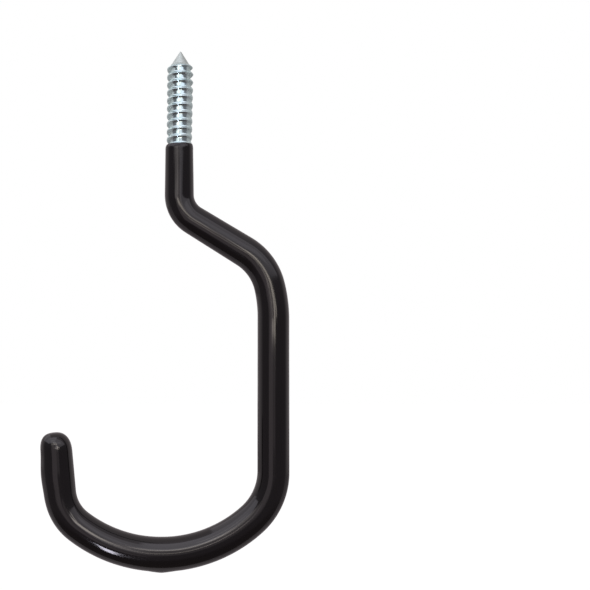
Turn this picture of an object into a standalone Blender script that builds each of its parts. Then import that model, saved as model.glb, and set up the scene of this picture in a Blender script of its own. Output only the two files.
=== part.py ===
"""Bicycle storage hook: a bent steel rod with a rolled wood-screw thread, dipped in black vinyl.

The origin is on the screw's axis, in the plane where the coat ends under the thread. The screw points up
(+Z), the hook lies in the XZ plane and hangs down from the origin, with its shank towards +X and its free
end towards -X. Lengths are written in millimetres and turned into Blender's metres by MM.
"""
from math import acos, ceil, cos, hypot, pi, radians, sin, tan

import bmesh
import bpy
from mathutils import Matrix, Vector

MM = 0.001

# Centreline of the rod, from the coat's collar down to the free end
COLLAR_LEG = 16.5
OFFSET_ANGLE = radians(58.5)
UPPER_BEND_RADIUS = 9.7
OFFSET_LEG = 19.4
LOWER_BEND_RADIUS = 18.2
LOWER_BEND_EASING_RADIUS = 45.0
LOWER_BEND_EASING = radians(13.5)
SHANK = 49.8
HEEL_ANGLE = radians(48)
HEEL_RADIUS = 20.9
SADDLE_ANGLE = radians(79.5)
SADDLE_RADIUS = 44.2
TOE_ANGLE = radians(47.5)
TOE_RADIUS = 15.5
ARM = 19.6

# Steel rod, and the thread rolled on its upper end, which runs out on a bare, blunt point
ROD_RADIUS = 3.75
ROD_END_CHAMFER = 0.8
SCREW_LENGTH = 30.0
THREAD_START = 0.3
PITCH = 2.54
CREST_RADIUS = 4.2
ROOT_RADIUS = 3.35
CREST_AT_X = 2.4
POINT_RADIUS = 0.2
POINT_HALF_ANGLE = radians(30)
BARE_POINT = 3.7
FULL_THREAD = 5.7

# Dipped coat, with its outer radius at the ends of the centreline's legs
COAT_AT_COLLAR = 4.5
COAT_AT_UPPER_BEND = 4.74
COAT_AT_OFFSET_LEG = 4.8
COAT_AT_LOWER_BEND = 5.06
COAT_AT_SHANK = 5.15
COAT_AT_HEEL = 5.2
COAT_AT_SADDLE = 5.4
COAT_AT_LOW_POINT = 5.6
COAT_AT_TOE = 5.42
COAT_AT_ARM = 5.25
COAT_AT_FREE_END = 5.25
BORE_GAP = 0.3
END_WALL = 2.2
COLLAR_RUN = 1.5
COLLAR_DROP = 0.4
COLLAR_POWER = 2.0
END_RUN = 6.5
END_POWER = 2.35

# Drip that set under the lowest point of the coat
DRIP_HEIGHT = 0.4
DRIP_HALF_LENGTH = 4.0
DRIP_HALF_WIDTH = 3.5

# How finely the shapes are cut
SIDES = 24
THREAD_ROWS = 6
CHORD_ERROR = 0.05
CORNER_CUTS = 6
DRIP_CUTS = 4
SLIVER = 0.1
WELD = 0.02
SHARP_EDGE = radians(60)


def bend(radius, turn):
    """Length and turn of a bend. A positive turn swings the rod towards +X on its way down."""
    return radius * abs(turn), turn


# Legs of the centreline: the length, the turn, and the coat's outer radius at the leg's end
LEGS_TO_LOW_POINT = (
    (COLLAR_LEG, 0.0, COAT_AT_UPPER_BEND),
    (*bend(UPPER_BEND_RADIUS, OFFSET_ANGLE), COAT_AT_OFFSET_LEG),
    (OFFSET_LEG, 0.0, COAT_AT_LOWER_BEND),
    (*bend(LOWER_BEND_RADIUS, LOWER_BEND_EASING - OFFSET_ANGLE), COAT_AT_LOWER_BEND),
    (*bend(LOWER_BEND_EASING_RADIUS, -LOWER_BEND_EASING), COAT_AT_SHANK),
    (SHANK, 0.0, COAT_AT_HEEL),
    (*bend(HEEL_RADIUS, -HEEL_ANGLE), COAT_AT_SADDLE),
    (*bend(SADDLE_RADIUS, HEEL_ANGLE - pi / 2), COAT_AT_LOW_POINT),
)
LEGS_TO_FREE_END = (
    (*bend(SADDLE_RADIUS, pi / 2 - HEEL_ANGLE - SADDLE_ANGLE), COAT_AT_TOE),
    (*bend(TOE_RADIUS, -TOE_ANGLE), COAT_AT_ARM),
    (ARM, 0.0, COAT_AT_FREE_END),
)
ROUTE = LEGS_TO_LOW_POINT + LEGS_TO_FREE_END
LOW_POINT = sum(length for length, turn, coat in LEGS_TO_LOW_POINT)
COAT_END = sum(length for length, turn, coat in ROUTE)
BORE_END = COAT_END - END_WALL
ROD_END = BORE_END - BORE_GAP
BORE_RADIUS = ROD_RADIUS + BORE_GAP


def frame(distance):
    """Placement of a section down the centreline: its Z runs along the rod, and its Y is the world's."""
    x, z, heading = 0.0, max(-distance, 0.0), 0.0
    left = max(distance, 0.0)
    for length, turn, coat in ROUTE:
        step = min(left, length)
        part = turn * step / length
        chord = step * sin(part / 2) / (part / 2) if part else step
        x += chord * sin(heading + part / 2)
        z -= chord * cos(heading + part / 2)
        heading += part
        left -= step
    return Matrix.Translation(Vector((x, 0, z)) * MM) @ Matrix.Rotation(pi - heading, 4, "Y")


def coat_radius(distance):
    """Outer radius of the coat, which changes evenly along each leg."""
    before = COAT_AT_COLLAR
    for length, turn, after in ROUTE:
        if distance <= length:
            return before + (after - before) * distance / length
        distance -= length
        before = after
    return before


def stations(end):
    """Distances from the collar to an end at which a tube needs a section for its bends to be round."""
    found, start = [0.0], 0.0
    for length, turn, coat in ROUTE:
        outside = length / abs(turn) + coat if turn else length
        cuts = max(1, ceil(abs(turn) / (2 * acos(1 - CHORD_ERROR / outside))))
        found += [start + length * cut / cuts for cut in range(1, cuts + 1)]
        start += length
    return [distance for distance in found if distance < end - WELD] + [end]


def tube(bm, sections):
    """Skin round sections, each a distance and a radius, into a tube that is open at both ends."""
    rings = []
    for distance, radius in sections:
        circle = bmesh.ops.create_circle(bm, segments=SIDES, radius=radius * MM, matrix=frame(distance))
        rings.append(circle["verts"])
    for near, far in zip(rings, rings[1:]):
        for side in range(SIDES):
            bm.faces.new((near[side - 1], near[side], far[side], far[side - 1]))
    return rings


def thread_profile():
    """Outline of one pitch of the thread on the +X side: a raised cosine from root to crest to root."""
    for row in range(THREAD_ROWS + 1):
        share = row / THREAD_ROWS
        crest_share = (1 - cos(2 * pi * share)) / 2
        radius = ROOT_RADIUS + (CREST_RADIUS - ROOT_RADIUS) * crest_share
        yield Vector((radius, 0, CREST_AT_X + PITCH * (share - 0.5)))


def on_the_screw(radius, height):
    """Radius and height of a point of the endless thread, once cut to the screw's own ends."""
    if height < THREAD_START + SLIVER:
        return ROD_RADIUS, THREAD_START
    from_tip = SCREW_LENGTH - height
    if from_tip < SLIVER:
        return POINT_RADIUS, SCREW_LENGTH
    core = min(ROOT_RADIUS, POINT_RADIUS + from_tip * tan(POINT_HALF_ANGLE))
    grown = min(max((from_tip - BARE_POINT) / (FULL_THREAD - BARE_POINT), 0), 1)
    return core + (radius - ROOT_RADIUS) * grown, height


def screw(bm):
    """Thread spun as a helical strip one pitch wide, with its turns edge to edge, then cut to its ends."""
    below = Vector((0, 0, ceil((CREST_AT_X + PITCH / 2) / PITCH) * PITCH))
    turns = ceil((SCREW_LENGTH + below.z) / PITCH)
    profile = [bm.verts.new((point - below) * MM) for point in thread_profile()]
    strip = profile + [bm.edges.new(pair) for pair in zip(profile, profile[1:])]
    bmesh.ops.spin(bm, geom=strip, cent=(0, 0, 0), axis=(0, 0, 1), dvec=(0, 0, PITCH * MM / SIDES),
                   angle=2 * pi * turns, steps=SIDES * turns)
    for vert in bm.verts:
        x, y, z = vert.co / MM
        radius, height = on_the_screw(hypot(x, y), z)
        vert.co = Vector((x, y, 0)).normalized() * radius * MM
        vert.co.z = height * MM


def rod_sections():
    """Sections of the bent rod, from the foot of its thread to its chamfered end."""
    full = [-THREAD_START] + stations(ROD_END - ROD_END_CHAMFER)
    return [(distance, ROD_RADIUS) for distance in full] + [(ROD_END, ROD_RADIUS - ROD_END_CHAMFER)]


def rounded_edge(edge, inward, run, drop, power):
    """Sections that round the coat over an end: a quarter of an ellipse at power 2, squarer above it."""
    for cut in range(CORNER_CUTS + 1):
        angle = pi / 2 * cut / CORNER_CUTS
        distance = edge + inward * run * (1 - sin(angle) ** (2 / power))
        yield distance, coat_radius(distance) - drop * (1 - max(cos(angle), 0) ** (2 / power))


def coat_sections():
    """Sections of the coat: up its bore, over the collar's lip, and down its outside to the free end."""
    bore = [(distance, BORE_RADIUS) for distance in stations(BORE_END - ROD_END_CHAMFER)]
    bore.append((BORE_END, BORE_RADIUS - ROD_END_CHAMFER))
    lip = list(rounded_edge(0, 1, COLLAR_RUN, COLLAR_DROP, COLLAR_POWER))
    drip = [LOW_POINT + DRIP_HALF_LENGTH * (2 * cut / DRIP_CUTS - 1) for cut in range(DRIP_CUTS + 1)]
    plain = [distance for distance in stations(COAT_END)
             if COLLAR_RUN < distance < COAT_END - END_RUN and abs(distance - LOW_POINT) > DRIP_HALF_LENGTH]
    outside = [(distance, coat_radius(distance)) for distance in sorted(plain + drip)]
    end = list(rounded_edge(COAT_END, -1, END_RUN, COAT_AT_FREE_END, END_POWER))
    return bore[::-1], lip[::-1] + outside + end


def add_drip(rings, sections):
    """Draw the underside of the coat down to a soft point below the middle of the bend."""
    for ring, (distance, radius) in zip(rings, sections):
        along = abs(distance - LOW_POINT) / DRIP_HALF_LENGTH
        middle = frame(distance).translation.z
        for vert in ring:
            across = abs(vert.co.y) / (DRIP_HALF_WIDTH * MM)
            if along < 1 and across < 1 and vert.co.z < middle:
                vert.co.z -= DRIP_HEIGHT * MM * (1 - along) * (1 - across ** 2)


def add_object(name, bm, material):
    """Close the ends of a mesh, and add it to the scene as one smooth, closed piece."""
    bmesh.ops.remove_doubles(bm, verts=bm.verts, dist=WELD * MM)
    bmesh.ops.holes_fill(bm, edges=[edge for edge in bm.edges if edge.is_boundary], sides=0)
    bmesh.ops.recalc_face_normals(bm, faces=bm.faces)
    mesh = bpy.data.meshes.new(name)
    bm.to_mesh(mesh)
    bm.free()
    mesh.shade_smooth()
    mesh.set_sharp_from_angle(angle=SHARP_EDGE)
    mesh.materials.append(material)
    piece = bpy.data.objects.new(name, mesh)
    bpy.context.scene.collection.objects.link(piece)
    return piece


def principled(name, colour, metallic, roughness):
    """A Principled material of one finish."""
    material = bpy.data.materials.new(name)
    material.use_nodes = True
    shader = material.node_tree.nodes["Principled BSDF"]
    shader.inputs["Base Color"].default_value = (*colour, 1)
    shader.inputs["Metallic"].default_value = metallic
    shader.inputs["Roughness"].default_value = roughness
    return material


def threaded_rod():
    """The steel: a screw that becomes the bent rod, in one piece."""
    bm = bmesh.new()
    screw(bm)
    tube(bm, rod_sections())
    return add_object("threaded_rod", bm, principled("zinc_plated_steel", (0.62, 0.66, 0.69), 1.0, 0.28))


def vinyl_coating():
    """The coat: a skin round the rod, open at its collar and closed round the free end."""
    bm = bmesh.new()
    bore, outside = coat_sections()
    rings = tube(bm, bore + outside)
    add_drip(rings[len(bore):], outside)
    return add_object("vinyl_coating", bm, principled("black_vinyl", (0.012, 0.011, 0.012), 0.0, 0.25))


for old in list(bpy.data.objects):
    bpy.data.objects.remove(old)
threaded_rod()
vinyl_coating()
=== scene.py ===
# %% [markdown]
# A bicycle hook, dipped in black vinyl
#
# This hook screws into a ceiling joist, and a bicycle hangs in it by one wheel. It is one steel rod, bent
# cold into a hook, with a wood-screw thread rolled on its upper end. The thread is zinc plated, and
# everything below it was dipped in liquid vinyl, which set to a thick, glossy, black skin.
#
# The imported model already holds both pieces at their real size. This lesson builds a finer mesh for each of
# them in the same place, and then makes the two finishes, the studio and the camera.

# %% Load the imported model
from math import ceil, cos, pi, radians, sin, tan

import bmesh
import bpy
from mathutils import Matrix, Vector, noise


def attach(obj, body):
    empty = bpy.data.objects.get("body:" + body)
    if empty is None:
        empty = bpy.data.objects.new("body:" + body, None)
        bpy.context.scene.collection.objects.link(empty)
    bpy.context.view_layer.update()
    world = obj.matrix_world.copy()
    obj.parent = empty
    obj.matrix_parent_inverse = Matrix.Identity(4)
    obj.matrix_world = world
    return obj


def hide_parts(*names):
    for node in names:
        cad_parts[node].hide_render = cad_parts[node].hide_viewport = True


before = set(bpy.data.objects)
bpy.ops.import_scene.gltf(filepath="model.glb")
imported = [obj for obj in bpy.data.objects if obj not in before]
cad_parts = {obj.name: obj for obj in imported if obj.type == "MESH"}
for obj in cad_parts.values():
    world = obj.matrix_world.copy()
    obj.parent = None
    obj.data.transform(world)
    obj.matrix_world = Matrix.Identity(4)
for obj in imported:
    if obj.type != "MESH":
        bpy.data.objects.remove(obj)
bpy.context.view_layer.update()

# %% [markdown]
# Units and helpers
#
# Blender counts in metres and works with linear light. A maker thinks in millimetres and picks colours from
# an sRGB chart, so every length below is written in millimetres and every colour as a hex value, and they
# are turned over in one place. A small function adds a shader node with its settings and links, so that each
# material reads as a list of what happens to its surface.

# %% Helpers
MM = 0.001


def linear(colour):
    """Blender's linear RGBA for a colour written as an sRGB hex value."""
    channels = [int(colour[at:at + 2], 16) / 255 for at in (1, 3, 5)]
    return (*[c / 12.92 if c <= 0.04045 else ((c + 0.055) / 1.055) ** 2.4 for c in channels], 1)


def add(tree, kind, inputs=None, **settings):
    """Add a node with its settings. Each of its inputs takes a value, or an output socket to link to."""
    node = tree.nodes.new(kind)
    for name, value in settings.items():
        setattr(node, name, value)
    for socket, value in (inputs or {}).items():
        if isinstance(value, bpy.types.NodeSocket):
            tree.links.new(value, node.inputs[socket])
        else:
            node.inputs[socket].default_value = value
    return node


def per(size):
    """Scale of a texture whose features are to be this many millimetres across."""
    return 1 / (size * MM)


print("middle grey in linear light:", [round(channel, 3) for channel in linear("#808080")[:3]])

# %% [markdown]
# The camera
#
# The hook was photographed square on, from a little over a third of a metre away. At that distance the
# thread is seen from below and the lower bend from above, because the lens stood level with the hook's
# middle. The hook also sits left of the picture's centre. Turning the camera to it would tilt the hook's
# flat plane, so the lens stays square to that plane and is shifted instead, as on a view camera.

# %% Camera
CAMERA_AT = (-4.97, -355, -54.27)
LENS = 66.6
SHIFT = (0.222, 0.0271)
NEAREST_SEEN = 10.0

camera = bpy.data.objects.new("camera", bpy.data.cameras.new("camera"))
camera.location = Vector(CAMERA_AT) * MM
camera.rotation_euler = (pi / 2, 0, 0)
camera.data.lens = LENS
camera.data.shift_x, camera.data.shift_y = SHIFT
camera.data.clip_start = NEAREST_SEEN * MM
bpy.context.scene.collection.objects.link(camera)
bpy.context.scene.camera = camera
print("camera stands", -CAMERA_AT[1], "mm in front of the hook's plane")

# %% [markdown]
# The bent centreline
#
# A rod is bent round a few rollers, so its centreline is only straight legs and arcs: down from the collar,
# out to the side, down the long shank, round the bottom and up to the free end. The route below gives each
# leg's length, its turn and the coat's outer radius at its end. The coat is thickest at the bottom of the
# hook, most likely because the hook hung that way up while the vinyl ran down and set.

# %% Route of the rod
def bend(radius, turn):
    """Length and turn of a bend. A positive turn swings the rod towards +X on its way down."""
    return radius * abs(turn), turn


OFFSET_ANGLE = radians(58.5)
EASING_ANGLE = radians(13.5)
HEEL_ANGLE = radians(48)
SADDLE_ANGLE = radians(79.5)
TOE_ANGLE = radians(47.5)
SADDLE_RADIUS = 44.2
COAT_AT_COLLAR = 4.5
ROUTE_TO_LOW_POINT = (
    (16.5, 0.0, 4.74),  # collar leg
    (*bend(9.7, OFFSET_ANGLE), 4.8),  # upper bend
    (19.4, 0.0, 5.06),  # slope
    (*bend(18.2, EASING_ANGLE - OFFSET_ANGLE), 5.06),  # lower bend
    (*bend(45.0, -EASING_ANGLE), 5.15),  # its easing into the shank
    (49.8, 0.0, 5.2),  # shank
    (*bend(20.9, -HEEL_ANGLE), 5.4),  # heel
    (*bend(SADDLE_RADIUS, HEEL_ANGLE - pi / 2), 5.6),  # saddle, down to the low point
)
ROUTE_TO_FREE_END = (
    (*bend(SADDLE_RADIUS, pi / 2 - HEEL_ANGLE - SADDLE_ANGLE), 5.42),  # saddle, on from the low point
    (*bend(15.5, -TOE_ANGLE), 5.22),  # toe
    (19.6, 0.0, 5.14),  # arm
)
ROUTE = ROUTE_TO_LOW_POINT + ROUTE_TO_FREE_END
LOW_POINT = sum(length for length, turn, coat in ROUTE_TO_LOW_POINT)
FREE_END = sum(length for length, turn, coat in ROUTE)
print("rod from collar to free end:", round(FREE_END, 1), "mm")

# %% [markdown]
# Sections along the centreline
#
# The frame of a section puts its Z along the rod and its Y square to the hook's plane. Rings of points that
# are placed by such frames never twist, and neighbouring rings join into a clean tube. A curve object with
# a bevel would be shorter to write, but it can't change the coat's thickness leg by leg.

# %% Sections
def section_frame(distance):
    """Frame of the section this far down the rod from the collar, or up the screw where it is negative."""
    x, z, heading = 0.0, max(-distance, 0.0), 0.0
    left = max(distance, 0.0)
    for length, turn, coat in ROUTE:
        step = min(left, length)
        part = turn * step / length
        chord = step * sin(part / 2) / (part / 2) if part else step
        x += chord * sin(heading + part / 2)
        z -= chord * cos(heading + part / 2)
        heading += part
        left -= step
    return Matrix.Translation((x, 0, z)) @ Matrix.Rotation(-heading, 4, "Y")


def coat_radius(distance):
    """Outer radius of the coat, which changes evenly along each leg."""
    before = COAT_AT_COLLAR
    for length, turn, after in ROUTE:
        if distance <= length:
            return before + (after - before) * distance / length
        distance -= length
        before = after
    return before


print("low point of the centreline:", round(section_frame(LOW_POINT).translation.z, 1), "mm")

# %% [markdown]
# From rings to a mesh
#
# Both pieces are rings of points that are skinned with faces. A ring whose radius is nothing becomes one
# point, and a ring that is left open is closed with one face. A thread is skinned the same way, but its
# rings are turns of a helix, so at the seam each one joins the ring that lies a whole turn further on.
#
# The rings are fine, with 96 points, because both finishes are mirrors: light that is reflected off a coarse
# tube would break into facets.

# %% Skin rings with faces
SIDES = 96
ANGLES = [2 * pi * side / SIDES for side in range(SIDES)]
WELD = 0.004
SHARP_EDGE = radians(60)


def ring(distance, radius):
    """Points round the rod. The radius is a number, or a function of the angle.

    Angle 0 is the right side of the collar and of the shank, and the left, outer side of the arm.
    """
    placed = section_frame(distance)
    radii = [radius(angle) if callable(radius) else radius for angle in ANGLES]
    return [placed @ Vector((r * cos(angle), r * sin(angle), 0)) for r, angle in zip(radii, ANGLES)]


def skin(name, *patches):
    """A closed, smooth mesh of patches. A patch is its rings, and how many rings on its seam joins."""
    bm = bmesh.new()
    for rings, climb in patches:
        rows = [[bm.verts.new(point * MM) for point in points] for points in rings]
        for row in range(len(rows) - 1):
            for side in range(SIDES):
                at = row if side else row + climb
                if at + 1 < len(rows):
                    first, last = rows[row][side - 1], rows[row + 1][side - 1]
                    bm.faces.new((first, rows[at][side], rows[at + 1][side], last))
    bmesh.ops.remove_doubles(bm, verts=bm.verts, dist=WELD * MM)
    bmesh.ops.holes_fill(bm, edges=[edge for edge in bm.edges if edge.is_boundary], sides=0)
    bmesh.ops.recalc_face_normals(bm, faces=bm.faces)
    mesh = bpy.data.meshes.new(name)
    bm.to_mesh(mesh)
    bm.free()
    mesh.shade_smooth()
    mesh.set_sharp_from_angle(angle=SHARP_EDGE)
    piece = bpy.data.objects.new(name, mesh)
    bpy.context.scene.collection.objects.link(piece)
    triangles = sum(len(face.vertices) - 2 for face in mesh.polygons)
    print(name, len(mesh.vertices), "points,", triangles, "triangles")
    return piece


def evenly(start, end, step):
    """Distances from start to end, both of them included, about a step apart."""
    cuts = max(1, ceil(abs(end - start) / step))
    return [start + (end - start) * cut / cuts for cut in range(cuts + 1)]


def smooth(share):
    """Ease from 0 to 1 as the share goes from 0 to 1, and hold before and after."""
    share = min(max(share, 0.0), 1.0)
    return share * share * (3 - 2 * share)


print("a facet of the coat's ring is", round(2 * pi * COAT_AT_COLLAR / SIDES, 2), "mm wide at the collar")

# %% [markdown]
# The rolled thread
#
# The thread isn't cut. Flat dies squeeze the steel while the blank rolls between them, and what they push
# aside rises as a crest. The blank here didn't run quite true between the dies. So the crests are round and
# broad, with a deep groove, on one side of the screw, low blunt teeth on the other, and narrow ridges with a
# flat root between them on the front and the back. Only near the point do the teeth grow tall.
#
# A Screw modifier could sweep one profile, but it can't change that profile round the turn. So the radius is
# a function of the angle and the height. A crest is given by its height, its roundness and its narrowness.

# %% Crests of the thread
PITCH = 2.54
CREST_AT_X = 2.4
LEAN = 0.2
LEAN_BACK = 0.45
SCREW_LENGTH = 30.0
CREST_RADIUS_AT_COLLAR = 4.1
CREST_RADIUS_AT_POINT = 4.3
CREST_WIDENS = CREST_RADIUS_AT_POINT - CREST_RADIUS_AT_COLLAR
RIDGES = (0.2, 1.6, 12.0)
ROUND_CRESTS = (0.95, 2.4, 1.0)
LOW_TEETH = (0.42, 2.2, 1.0)
TALL_TEETH = (1.1, 1.5, 1.0)
SIDEDNESS = 3
TEETH_GROW = (15.5, 21.5)


def crest_height(angle):
    """Height of a crest at an angle round the screw. The others are whole pitches above and below it."""
    return CREST_AT_X - LEAN * cos(angle) - LEAN_BACK * sin(angle) + PITCH * angle / (2 * pi)


def thread_radius(angle, height):
    """Radius of the full thread at an angle and a height."""
    turns = (height - crest_height(angle)) / PITCH
    off_crest = 2 * abs(turns - round(turns))
    round_side = ((1 - cos(angle)) / 2) ** SIDEDNESS
    tooth_side = ((1 + cos(angle)) / 2) ** SIDEDNESS
    grown = smooth((height - TEETH_GROW[0]) / (TEETH_GROW[1] - TEETH_GROW[0]))
    depth, roundness, narrowness = [
        ridge + (broad - ridge) * round_side + (low + (tall - low) * grown - ridge) * tooth_side
        for ridge, broad, low, tall in zip(RIDGES, ROUND_CRESTS, LOW_TEETH, TALL_TEETH)]
    crest = CREST_RADIUS_AT_COLLAR + CREST_WIDENS * height / SCREW_LENGTH
    return crest - depth * (1 - (1 - off_crest ** roundness) ** narrowness)


groove = CREST_RADIUS_AT_COLLAR - thread_radius(pi, crest_height(pi) + PITCH / 2)
print("groove on the round side:", round(groove, 2), "mm deep")

# %% [markdown]
# The whole screw
#
# The thread runs out on the cone of the point, and at its foot it fades into the plain rod under the collar.
# The screw leans a little against the collar leg. The mesh follows the helix: one row of points runs along
# each groove and one along each crest, so no crest is cut by a ring that crosses it.

# %% Screw from foot to point
ROOT_RADIUS = 3.1
CONE_ANGLE = radians(32.6)
POINT_RADIUS = 0.2
BARE_POINT = 3.9
FULL_THREAD = 5.6
SCREW_LEANS = radians(0.8)
THREAD_FOOT = -1.6
THREAD_FADES = 1.2
ROD_RADIUS = 3.75
ROWS = 28
SLIVER = 0.04


def screw_radius(angle, height):
    """Radius of the screw, whose thread fades out under the collar and on the cone of the point."""
    thread = thread_radius(angle, height)
    from_tip = SCREW_LENGTH - height
    cone = POINT_RADIUS + from_tip * tan(CONE_ANGLE)
    root = min(ROOT_RADIUS, cone)
    grown = smooth((from_tip - BARE_POINT) / (FULL_THREAD - BARE_POINT))
    from_foot = smooth((height - THREAD_FOOT) / THREAD_FADES)
    threaded = root + (thread - root) * grown
    return ROD_RADIUS + (threaded - ROD_RADIUS) * from_foot


def on_screw(angle, height):
    """Point of the screw's surface, held between the thread's foot and the tip."""
    height = THREAD_FOOT if height < THREAD_FOOT + SLIVER else height
    height = SCREW_LENGTH if height > SCREW_LENGTH - SLIVER else height
    radius = screw_radius(angle, height)
    return Vector((radius * cos(angle) + max(height, 0) * tan(SCREW_LEANS), radius * sin(angle), height))


def thread_turns():
    """Turns of the helix, a part of a pitch apart, from a turn below the thread's foot to past the tip."""
    first = ceil((THREAD_FOOT - CREST_AT_X) / PITCH - 2) * ROWS
    last = ceil((SCREW_LENGTH - CREST_AT_X) / PITCH + 1) * ROWS
    for row in range(first, last + 1):
        yield [on_screw(angle, crest_height(angle) + PITCH * row / ROWS) for angle in ANGLES]


print("thread:", round((SCREW_LENGTH - BARE_POINT) / PITCH, 1), "turns")

# %% [markdown]
# The rod
#
# Under the coat the same rod goes on, unthreaded, round every bend to a chamfered end. Nobody sees it, but
# the hook is one piece of steel, so its mesh is one piece too.

# %% Zinc plated rod
ROD_END_CHAMFER = 0.8
END_WALL = 2.2
BORE_GAP = 0.3
BORE_END = FREE_END - END_WALL
ROD_END = BORE_END - BORE_GAP
HIDDEN_STEP = 2.0


def rod_rings():
    """Rings of the plain rod, from the thread's foot to the chamfered end inside the coat."""
    full = evenly(-THREAD_FOOT, ROD_END - ROD_END_CHAMFER, HIDDEN_STEP)
    return [ring(distance, ROD_RADIUS) for distance in full] + [ring(ROD_END, ROD_RADIUS - ROD_END_CHAMFER)]


rod = skin("zinc_plated_rod", (list(thread_turns()), ROWS), (rod_rings(), 0))
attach(rod, "root")
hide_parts("threaded_rod")

# %% [markdown]
# The outside of the coat
#
# The steel was heated and lowered into liquid vinyl up to the screw, so the coat is a skin of about one and
# a half millimetres that follows the rod. Such a skin is never dead even. A faint swell runs through it,
# which makes the long reflections waver. On the arm more vinyl set on the outer side, and under the lowest
# point the last drop set as a small nib. Each of these moves the points of a ring a little, in or out.

# %% Outside of the coat
SWELL = 0.03
SWELL_SIZE = 9.0
ARM_BULGE = 0.5
ARM_BULGE_BEFORE_END = 13.7
ARM_BULGE_HALF_LENGTH = 8.5
DRIP_HEIGHT = 0.4
DRIP_HALF_LENGTH = 4.0
DRIP_HALF_WIDTH = 3.5


def swelling(point):
    """How far the skin lies below its full thickness at a point."""
    return SWELL * (1 + noise.noise(point / SWELL_SIZE)) / 2


def outside(distance, radius):
    """Ring of the coat's outside, with its swell, the bulge of its arm, and the drip at its lowest point."""
    centre = section_frame(distance).translation
    along = abs(distance - LOW_POINT) / DRIP_HALF_LENGTH
    bulge = ARM_BULGE * smooth(1 - abs(FREE_END - ARM_BULGE_BEFORE_END - distance) / ARM_BULGE_HALF_LENGTH)
    for point, angle in zip(ring(distance, radius), ANGLES):
        outer = ((1 + cos(angle)) / 2) ** 2
        point += (point - centre).normalized() * (bulge * outer - swelling(point))
        across = abs(point.y) / DRIP_HALF_WIDTH
        if along < 1 and across < 1 and point.z < centre.z:
            point.z -= DRIP_HEIGHT * (1 - along) * (1 - across ** 2)
        yield point


print("the drip hangs", DRIP_HEIGHT, "mm low, and the arm's outer side is", ARM_BULGE, "mm thicker")

# %% [markdown]
# The two ends of the coat
#
# Where the coat stops under the thread, its edge drew in against the steel as it cured, so the lip follows
# the thread that it grips. The free end is a thick dome, blunter on its outer side. Both are quarters of a
# superellipse: a power of 2 would give a round end, and a higher one gives a blunter end.

# %% Lip and dome
GRIP = 0.03
LIP_RUN = 1.7
LIP_POWER = 2.3
END_RUN = 6.5
END_POWER = 2.35
OUTER_END_POWER = 2.95


def grip(distance):
    """Radius of the coat's inside where it grips the thread, as a function of the angle."""
    return lambda angle: screw_radius(angle, -distance) + GRIP


def lip(share):
    """Ring of the lip, from the thread at share 0 to the coat's full thickness at share 1."""
    turn = pi / 2 * share
    distance = LIP_RUN * (1 - cos(turn) ** (2 / LIP_POWER))
    grown = sin(turn) ** (2 / LIP_POWER)
    inside = grip(0)
    return ring(distance, lambda angle: inside(angle) + (coat_radius(distance) - inside(angle)) * grown)


def dome(share):
    """Ring of the free end's dome, from the coat's full radius at share 0 to its middle at share 1."""
    height = sin(pi / 2 * share) ** (2 / END_POWER)
    distance = FREE_END - END_RUN * (1 - height)

    def radius(angle):
        """Radius of the dome at this height, with the outer side of the arm at angle 0."""
        power = END_POWER + (OUTER_END_POWER - END_POWER) * (1 + cos(angle)) / 2
        return coat_radius(distance) * max(1 - height ** power, 0) ** (1 / power)

    return list(outside(distance, radius))


print("the lip takes", LIP_RUN, "mm and the dome", END_RUN, "mm of the rod's length")

# %% [markdown]
# The coat in one skin
#
# The coat is drawn as one run of rings: up its bore, over the lip that grips the thread, and down its
# outside to the middle of the dome. One run leaves no seam, as on the dipped skin.

# %% Vinyl coat
BORE_RADIUS = ROD_RADIUS + BORE_GAP
GRIP_DEPTH = 0.4
LIP_CUTS = 14
END_CUTS = 28
SKIN_STEP = 0.6


def coat_rings():
    """Rings of the whole coat, from the blind end of its bore to the middle of its free end."""
    yield ring(BORE_END, BORE_RADIUS - ROD_END_CHAMFER)
    for distance in evenly(BORE_END - ROD_END_CHAMFER, -THREAD_FOOT, HIDDEN_STEP):
        yield ring(distance, BORE_RADIUS)
    yield ring(GRIP_DEPTH, grip(GRIP_DEPTH))
    for cut in range(LIP_CUTS + 1):
        yield lip(cut / LIP_CUTS)
    for distance in evenly(LIP_RUN, FREE_END - END_RUN, SKIN_STEP)[1:-1]:
        yield list(outside(distance, coat_radius(distance)))
    for cut in range(END_CUTS + 1):
        yield dome(cut / END_CUTS)


coat = skin("dipped_vinyl_coat", (list(coat_rings()), 0))
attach(coat, "root")
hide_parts("vinyl_coating")

# %% [markdown]
# Where the zinc is burnished
#
# Bright zinc plate is a thin, hard film of zinc on the rolled steel. The dies burnished it on the front and
# the back of the thread, where it mirrors the room. The two sides, the deepest grooves and the cone of the
# point only took the film's own fine grain, and they scatter light as a matte grey.
#
# The distance from the screw's axis tells the flat front and back from the deep grooves and the cone, and
# the distance from its middle plane tells them from the sides. Object coordinates give both, in metres.

# %% Burnished share of the zinc
BURNISHED_DEPTH = (0.7, 0.6)
MATTE_SIDES = (2.0, 2.6)


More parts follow.
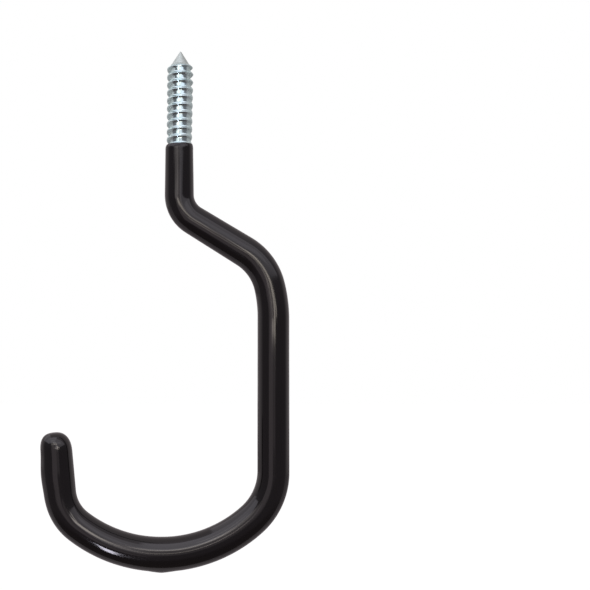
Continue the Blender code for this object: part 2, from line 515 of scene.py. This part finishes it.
def burnished_share(tree, place, height):
    """Socket that is 1 where the zinc is burnished and 0 where it is matte."""
    flat = add(tree, "ShaderNodeVectorMath", {0: place, 1: (1, 1, 0)}, operation="MULTIPLY").outputs[0]
    off_axis = add(tree, "ShaderNodeVectorMath", {0: flat}, operation="LENGTH").outputs["Value"]
    evened = add(tree, "ShaderNodeMath", {0: height, 1: -CREST_WIDENS / SCREW_LENGTH, 2: off_axis},
                 operation="MULTIPLY_ADD")
    deep, shallow = [(CREST_RADIUS_AT_COLLAR - depth) * MM for depth in BURNISHED_DEPTH]
    not_deep = add(tree, "ShaderNodeMapRange", {"Value": evened.outputs[0], "From Min": deep,
                                                "From Max": shallow})
    sideways = add(tree, "ShaderNodeVectorMath", {0: place, 1: (1, 0, 0)}, operation="MULTIPLY").outputs[0]
    off_middle = add(tree, "ShaderNodeVectorMath", {0: sideways}, operation="LENGTH").outputs["Value"]
    near, far = [side * MM for side in MATTE_SIDES]
    on_front = add(tree, "ShaderNodeMapRange", {"Value": off_middle, "From Min": far, "From Max": near})
    return add(tree, "ShaderNodeMath", {0: not_deep.outputs[0], 1: on_front.outputs[0]},
               operation="MULTIPLY").outputs[0]


print("zinc turns matte from", MATTE_SIDES[0], "to", MATTE_SIDES[1], "mm off the middle plane")

# %% [markdown]
# Zinc plate
#
# Zinc is a metal, so Metallic is 1 and its colour is the colour of its reflection. Passivation leaves it a
# faint blue green, in clouds of a few millimetres. The dies left marks that run round the screw, two
# millimetres long and a twelfth as wide, so their noise is squeezed along it. The real grain of the film is
# finer than a hundredth of a millimetre. It is drawn at twelve hundredths, or it wouldn't show at all.

# %% Zinc plate
ZINC = "#deebeb"
ZINC_BLUE = "#abcdd2"
ZINC_MATTE = "#dcf0ee"
# The cone of the point gets a darker copy of the matte zinc, which is painted shade.
ZINC_CONE_SHADE = "#cdd8d3"
CONE_SHADE_FROM = (25.2, 25.8)
STAIN_SIZE = 3.0
ROUGHNESS_OF_MATTE = 0.55
ROUGHNESS_OF_BURNISHED = 0.1
DIE_MARK_LENGTH = 2.2
DIE_MARK_SQUEEZE = 12
DIE_MARK_DEPTH = 0.003
GRAIN_SIZE = 0.12
GRAIN_DEPTH = 0.002


def zinc_colour(tree, place, height, burnished):
    """Colour of the zinc: clouded where it is burnished, paler where it is matte, and darker on the cone as
    painted shade.
    """
    stains = add(tree, "ShaderNodeTexNoise", {"Vector": place, "Scale": per(STAIN_SIZE), "Detail": 3})
    tint = add(tree, "ShaderNodeMixRGB", {"Fac": stains.outputs["Fac"], "Color1": linear(ZINC_BLUE),
                                          "Color2": linear(ZINC)})
    thread, cone = [start * MM for start in CONE_SHADE_FROM]
    # Painted shade: the matte zinc turns darker over the cone of the point.
    on_cone = add(tree, "ShaderNodeMapRange", {"Value": height, "From Min": thread, "From Max": cone})
    matte = add(tree, "ShaderNodeMixRGB", {"Fac": on_cone.outputs[0], "Color1": linear(ZINC_MATTE),
                                           "Color2": linear(ZINC_CONE_SHADE)})
    return add(tree, "ShaderNodeMixRGB", {"Fac": burnished, "Color1": matte.outputs["Color"],
                                          "Color2": tint.outputs["Color"]}).outputs["Color"]


def zinc_relief(tree, place):
    """Normal of the zinc, with the marks of the dies and the film's grain."""
    squeezed = add(tree, "ShaderNodeVectorMath", {0: place, 1: (1, 1, DIE_MARK_SQUEEZE)},
                   operation="MULTIPLY")
    marks = add(tree, "ShaderNodeTexNoise", {"Vector": squeezed.outputs[0], "Scale": per(DIE_MARK_LENGTH),
                                             "Detail": 4})
    grain = add(tree, "ShaderNodeTexNoise", {"Vector": place, "Scale": per(GRAIN_SIZE), "Detail": 2})
    rolled = add(tree, "ShaderNodeBump", {"Height": marks.outputs["Fac"], "Distance": DIE_MARK_DEPTH * MM})
    grained = add(tree, "ShaderNodeBump", {"Height": grain.outputs["Fac"], "Distance": GRAIN_DEPTH * MM,
                                           "Normal": rolled.outputs["Normal"]})
    return grained.outputs["Normal"]


def zinc_plate():
    """Bright zinc plate over rolled steel, burnished on the front and the back, and matte elsewhere."""
    material = bpy.data.materials.new("zinc_plate")
    material.use_nodes = True
    tree = material.node_tree
    shader = tree.nodes["Principled BSDF"]
    shader.inputs["Metallic"].default_value = 1
    place = add(tree, "ShaderNodeTexCoord").outputs["Object"]
    height = add(tree, "ShaderNodeSeparateXYZ", {0: place}).outputs["Z"]
    burnished = burnished_share(tree, place, height)
    roughness = add(tree, "ShaderNodeMapRange", {"Value": burnished, "To Min": ROUGHNESS_OF_MATTE,
                                                 "To Max": ROUGHNESS_OF_BURNISHED})
    tree.links.new(zinc_colour(tree, place, height, burnished), shader.inputs["Base Color"])
    tree.links.new(roughness.outputs[0], shader.inputs["Roughness"])
    tree.links.new(zinc_relief(tree, place), shader.inputs["Normal"])
    return material


rod.data.materials.append(zinc_plate())
print("zinc plate on", rod.name)

# %% [markdown]
# Vinyl
#
# Plastisol is liquid PVC that sets when it is heated. Carbon black colours it through, so it gives back
# almost no light of its own, and nearly all that the eye sees on it is reflection. Its skin sets against air
# and comes out glossy, with a faint orange peel of a millimetre or two. Handling leaves smears ten times as
# wide, which show only as a slightly duller gloss, so their noise drives the roughness and not the colour.

# %% Vinyl
VINYL_BLACK = "#0f0d0e"
VINYL_IOR = 1.53
VINYL_ROUGHNESS = (0.07, 0.14)
PEEL_SIZE = 1.4
PEEL_DEPTH = 0.0025
SMEAR_SIZE = 14.0
SMEAR_CONTRAST = (0.35, 0.65)


def black_vinyl():
    """Glossy black plastisol, dipped and cured."""
    material = bpy.data.materials.new("black_vinyl")
    material.use_nodes = True
    tree = material.node_tree
    shader = tree.nodes["Principled BSDF"]
    shader.inputs["Base Color"].default_value = linear(VINYL_BLACK)
    shader.inputs["IOR"].default_value = VINYL_IOR
    place = add(tree, "ShaderNodeTexCoord").outputs["Object"]
    smears = add(tree, "ShaderNodeTexNoise", {"Vector": place, "Scale": per(SMEAR_SIZE), "Detail": 4})
    clean, smeared = SMEAR_CONTRAST
    glossy, dull = VINYL_ROUGHNESS
    roughness = add(tree, "ShaderNodeMapRange", {"Value": smears.outputs["Fac"], "From Min": clean,
                                                 "From Max": smeared, "To Min": glossy, "To Max": dull})
    tree.links.new(roughness.outputs[0], shader.inputs["Roughness"])
    peel = add(tree, "ShaderNodeTexNoise", {"Vector": place, "Scale": per(PEEL_SIZE), "Detail": 2})
    bump = add(tree, "ShaderNodeBump", {"Height": peel.outputs["Fac"], "Distance": PEEL_DEPTH * MM})
    tree.links.new(bump.outputs["Normal"], shader.inputs["Normal"])
    return material


coat.data.materials.append(black_vinyl())
print("black vinyl on", coat.name)

# %% [markdown]
# The floor
#
# The hook hangs, so the floor lies well below it and only catches a faint shadow. It is a pale sweep that
# begins under the hook and runs backwards, so it lights the hook from behind and below. It looks white to
# the camera, but it keeps a part of its own shading, so that the shadow stays.

# %% Floor
FLOOR_DROP = 600.0
FLOOR_SIZE = 6000.0
FLOOR_COLOUR = "#c4c0be"
FLOOR_ROUGHNESS = 0.9
FLOOR_WHITENING = 0.85
FLOOR_WHITE = 1.16


def pale_floor():
    """Floor that looks white to the camera, but for its shadow."""
    material = bpy.data.materials.new("pale_floor")
    material.use_nodes = True
    tree = material.node_tree
    shader = tree.nodes["Principled BSDF"]
    shader.inputs["Base Color"].default_value = linear(FLOOR_COLOUR)
    shader.inputs["Roughness"].default_value = FLOOR_ROUGHNESS
    white = add(tree, "ShaderNodeEmission", {"Color": linear("#ffffff"), "Strength": FLOOR_WHITE})
    seen = add(tree, "ShaderNodeLightPath").outputs["Is Camera Ray"]
    share = add(tree, "ShaderNodeMath", {0: seen, 1: FLOOR_WHITENING}, operation="MULTIPLY")
    mixed = add(tree, "ShaderNodeMixShader", {0: share.outputs[0], 1: shader.outputs[0], 2: white.outputs[0]})
    tree.links.new(mixed.outputs[0], tree.nodes["Material Output"].inputs["Surface"])
    return material


bpy.ops.mesh.primitive_plane_add(size=FLOOR_SIZE * MM, location=Vector((0, FLOOR_SIZE / 2, -FLOOR_DROP)) * MM)
floor = bpy.context.object
floor.name = "floor"
floor.data.materials.append(pale_floor())
print("floor lies", FLOOR_DROP, "mm below the collar")

# %% [markdown]
# The room
#
# The picture's ground is pure white: a camera ray sees the backdrop as white, while reflections see the room
# as it is. That room has a pale wall behind the hook, and in front of the hook it is a dim studio, darkest
# towards the floor. A colour ramp over the height of a reflected ray holds the front, and the wall is mixed
# in where the ray runs backwards.

# %% World
WALL = "#bcb3b5"
WALL_BEGINS = (-0.05, 0.3)
DOWN, UP = -1.0, 1.0
FRONT = {DOWN: "#5c5352", -0.62: "#5c5354", -0.4: "#786f73", 0.0: "#756f73", 0.3: "#7f7a7f", UP: "#d5ccd3"}

world = bpy.data.worlds.new("studio")
bpy.context.scene.world = world
world.use_nodes = True
tree = world.node_tree
room = tree.nodes["Background"]
ray = add(tree, "ShaderNodeSeparateXYZ", {0: add(tree, "ShaderNodeTexCoord").outputs["Generated"]})
height = add(tree, "ShaderNodeMapRange", {"Value": ray.outputs["Z"], "From Min": DOWN, "From Max": UP})
front = add(tree, "ShaderNodeValToRGB", {"Fac": height.outputs[0]})
stops = front.color_ramp.elements
for at, colour in FRONT.items():
    stop = stops[0] if at == DOWN else stops[-1] if at == UP else stops.new((at - DOWN) / (UP - DOWN))
    stop.color = linear(colour)
open_side, wall_side = WALL_BEGINS
depth = add(tree, "ShaderNodeMapRange", {"Value": ray.outputs["Y"], "From Min": open_side,
                                         "From Max": wall_side})
around = add(tree, "ShaderNodeMixRGB", {"Fac": depth.outputs[0], "Color1": front.outputs[0],
                                        "Color2": linear(WALL)})
tree.links.new(around.outputs[0], room.inputs["Color"])
backdrop = add(tree, "ShaderNodeBackground", {"Color": linear("#ffffff")})
seen = add(tree, "ShaderNodeLightPath").outputs["Is Camera Ray"]
shown = add(tree, "ShaderNodeMixShader", {0: seen, 1: room.outputs[0], 2: backdrop.outputs[0]})
tree.links.new(shown.outputs[0], tree.nodes["World Output"].inputs["Surface"])
print("the room in front has", len(stops), "heights of grey")

# %% [markdown]
# The lamps
#
# A glossy black tube shows no light of its own, only the shapes of the lamps. So each lamp is placed where
# its streak on the tube should run. Two kinds are enough. A wide ceiling of diffusion cloth gives the broad
# sheen on every stretch that faces up, and small upright panels in front of the hook give the streaks down
# its legs. Panels that overlap stand at different distances, because one lamp would hide another that
# shares its plane, while lamps one behind the other add up.
#
# A lamp's level is the brightness that a mirror would show, where 1 is paper white.

# %% Lamps
CEILING_HEIGHT = 900.0

# Stretch of X, stretch of Y, level, colour
CEILING = {
    "ceiling_left": ((-2200, 147), (-1590, -144), 1.1, "#f7f4ff"),
    "ceiling_right": ((147, 2540), (-11600, -438), 0.74, "#fbf6ff"),
    "side_left": ((-2600, -500), (-140, 1000), 0.6, "#f7f4ff"),
}

# Stretch of X, Y, stretch of Z, lean in degrees, level, colour
PANELS = {
    "window": ((-110, 30), -260, (42, 104), 0, 1.15, "#fff9f6"),
    "left_glow": ((-200, -62), -262, (-8, 97), 0, 0.8, "#fff6f3"),
    "screw_glow": ((-140, -48), -130, (24, 60), 0, 0.8, "#fff9f6"),
    "left_fill": ((-172, -98), -264, (-52, 30), 0, 0.6, "#fff4f0"),
    "right_wing": ((37, 289), -266, (77, 187), 18, 0.45, "#f8f5ff"),
    "middle_fill": ((-100, 44), -268, (-74, 35), 0, 0.52, "#fff3f5"),
    "arc": ((-68, 14), -178, (-22, -4), 0, 3.0, "#fff4e6"),
    "strip": ((32, 85), -344, (-72, 10), 0, 4.0, "#fff4e6"),
    "strip_foot": ((66, 130), -274, (-48, -28), -14, 3.6, "#fff4e6"),
    "strip_heel": ((-46, 20), -275, (-69, -57), 0, 2.7, "#fff4e6"),
    "collar_glow": ((-96, -20), -279, (16, 44), 0, 0.65, "#fff6f3"),
    "low_fill": ((-185, -18), -276, (-190, -54), 0, 0.48, "#ffeff3"),
    "low_fill_right": ((-18, 70), -278, (-135, -74), 0, 0.28, "#ffeff3"),
    "low_lamp": ((-100, -78), -280, (-378, -250), -19, 18.0, "#f2efff"),
}


def middle(span):
    """Middle of a stretch."""
    return sum(span) / 2


def reach(span):
    """How long a stretch is."""
    return span[1] - span[0]


def lamp(name, size, place, level, colour):
    """An area light of this width and height in millimetres, which shines along its own -Z."""
    light = bpy.data.lights.new(name, "AREA")
    light.shape = "RECTANGLE"
    light.size, light.size_y = [side * MM for side in size]
    light.color = linear(colour)[:3]
    light.energy = level * pi * light.size * light.size_y
    holder = bpy.data.objects.new(name, light)
    holder.matrix_world = place
    bpy.context.scene.collection.objects.link(holder)


for name, (across, deep, level, colour) in CEILING.items():
    centre = Vector((middle(across), middle(deep), CEILING_HEIGHT)) * MM
    lamp(name, (reach(across), reach(deep)), Matrix.Translation(centre), level, colour)
for name, (across, forward, high, lean, level, colour) in PANELS.items():
    centre = Vector((middle(across), forward, middle(high))) * MM
    turned = Matrix.Rotation(-radians(lean), 4, "Y") @ Matrix.Rotation(pi / 2, 4, "X")
    lamp(name, (reach(across), reach(high)), Matrix.Translation(centre) @ turned, level, colour)
print(len(CEILING) + len(PANELS), "lamps")

# %% Finish
bpy.context.scene.view_settings.view_transform = "Standard"
